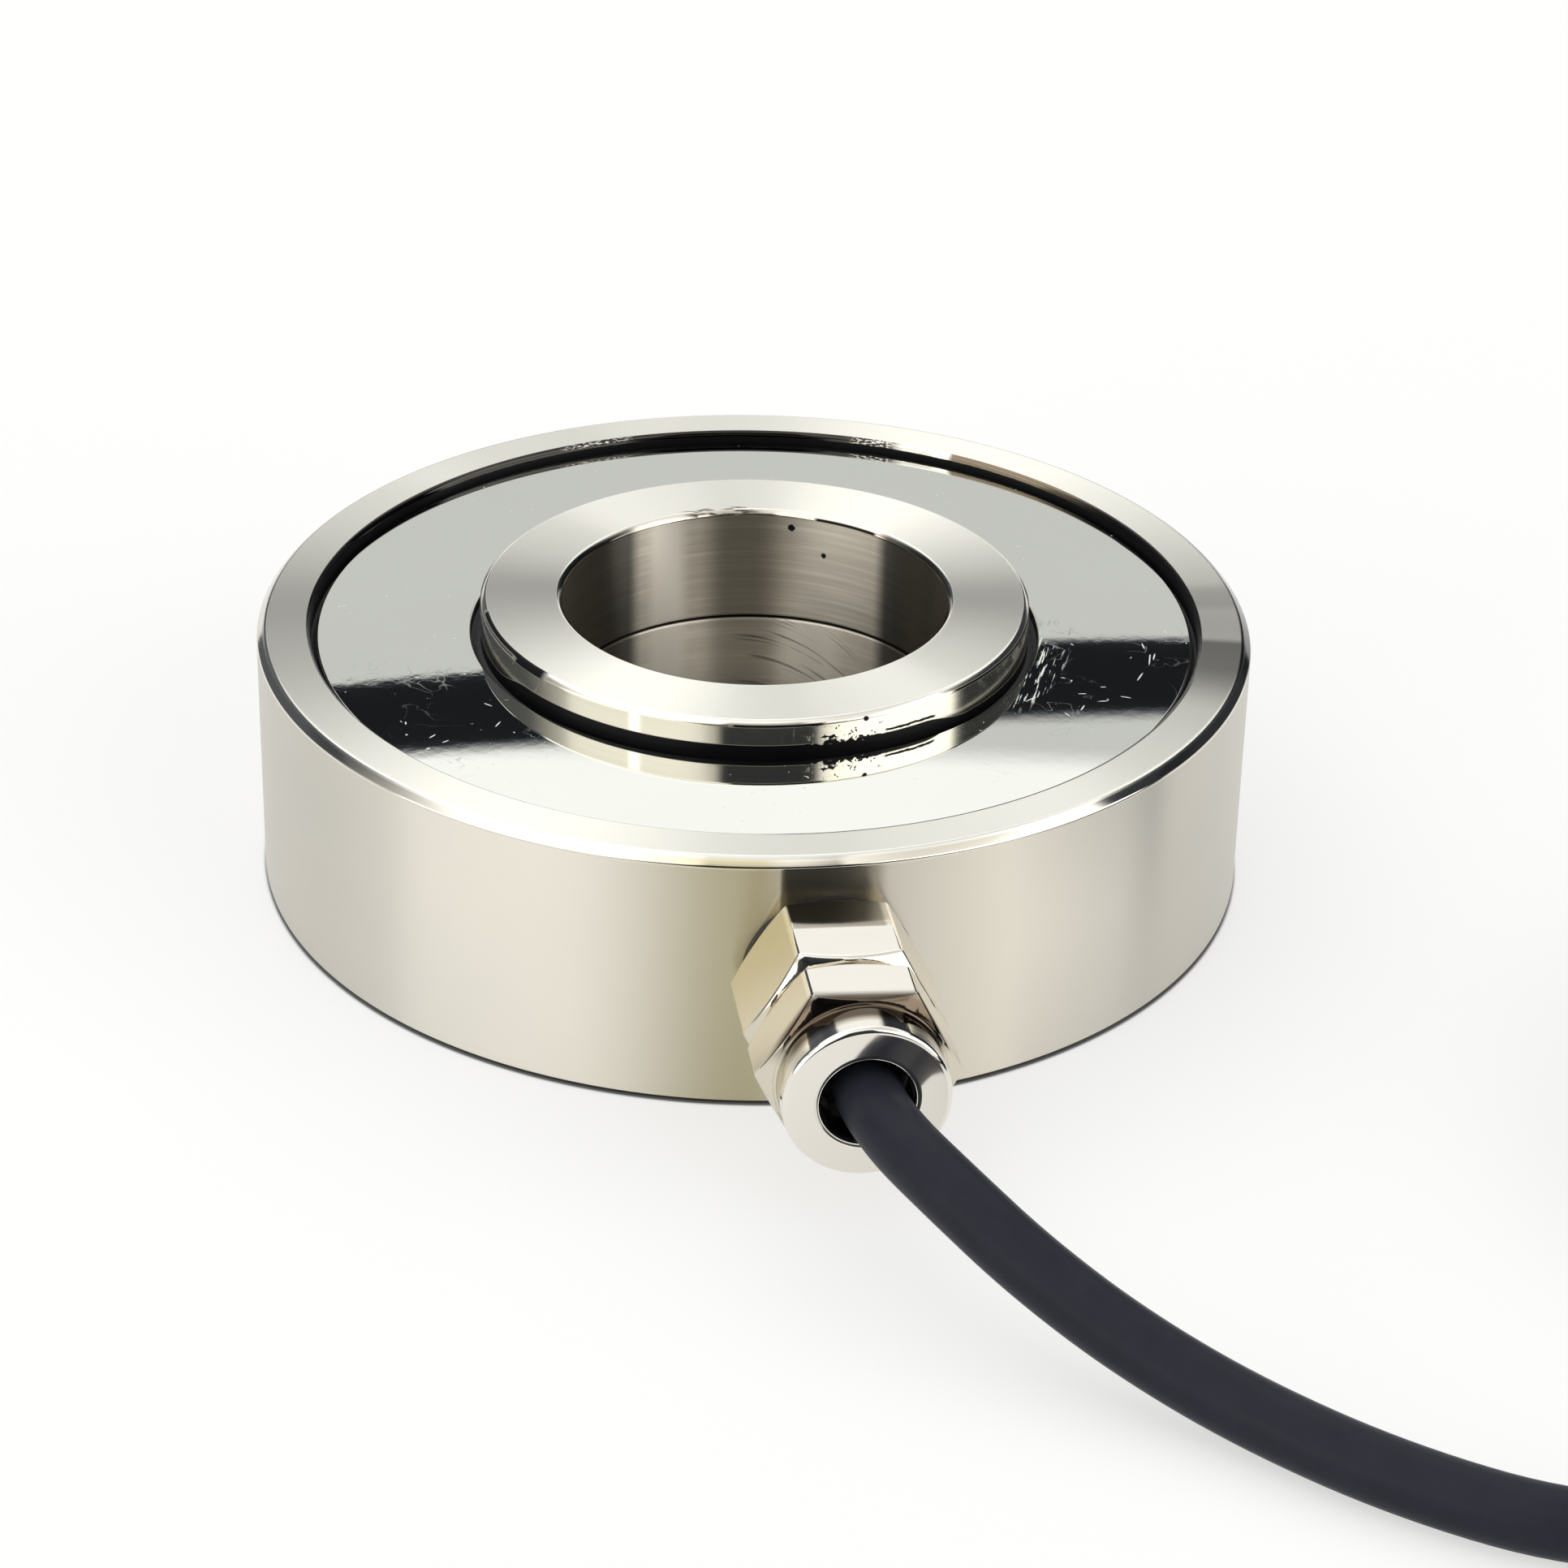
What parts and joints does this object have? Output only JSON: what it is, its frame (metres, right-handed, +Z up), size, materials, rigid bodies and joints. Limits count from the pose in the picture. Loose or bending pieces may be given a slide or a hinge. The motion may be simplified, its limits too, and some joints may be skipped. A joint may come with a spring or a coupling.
{
  "type": "ring load cell",
  "caption": "Through-hole ring load cell: polished stainless ring with a raised load ring, recessed cover, hex cable gland and a coiled dark cable with bare leads.",
  "frame": {"origin": "centre of the base face, on the bore's axis", "axes": "+Z up along the bore towards the load face, -Y out along the cable gland"},
  "size_m": [0.1864, 0.1522, 0.0245],
  "materials": {
    "housing_steel": "fine turned, nickel bright",
    "load_ring_steel": "turned, satin bore",
    "element_steel": "turned",
    "polished_cover": "mirror polished, lightly scratched",
    "black_seal": "matte",
    "plated_gland": "bright nickel plate",
    "claw_plastic": "moulded",
    "cable_jacket": "satin",
    "gauge_foil": "polyimide film with foil grid",
    "board": "solder mask",
    "resistor": "glazed",
    "tinned_copper": "tinned",
    "core_red": "satin",
    "core_black": "satin",
    "core_green": "satin",
    "core_white": "satin",
    "tie": "moulded"
  },
  "bodies": {
    "root": {"housing_ring": "housing_steel", "sensing_element": "element_steel", "load_ring": "load_ring_steel", "cover_plate": "polished_cover", "rim_seal": "black_seal", "boss_seal": "black_seal", "bridge_board": "board", "trim_resistors": "resistor", "gauge_wires": "tinned_copper", "inner_leads": "core_white", "gland_gasket": "black_seal", "gland_body": "plated_gland", "gland_claw": "claw_plastic", "gland_seal": "black_seal", "gland_nut": "plated_gland", "cable_inner": "cable_jacket", "cable_run": "cable_jacket", "cable_coil": "cable_jacket", "coil_tie_1": "tie", "coil_tie_2": "tie", "lead_red": "core_red", "lead_black": "core_black", "lead_green": "core_green", "lead_white": "core_white", "shield_drain": "tinned_copper", "lead_tips": "tinned_copper", "axial_gauge_1": "gauge_foil", "hoop_gauge_1": "gauge_foil", "axial_gauge_2": "gauge_foil", "hoop_gauge_2": "gauge_foil", "axial_gauge_3": "gauge_foil", "hoop_gauge_3": "gauge_foil", "axial_gauge_4": "gauge_foil", "hoop_gauge_4": "gauge_foil"}
  },
  "joints": []
}
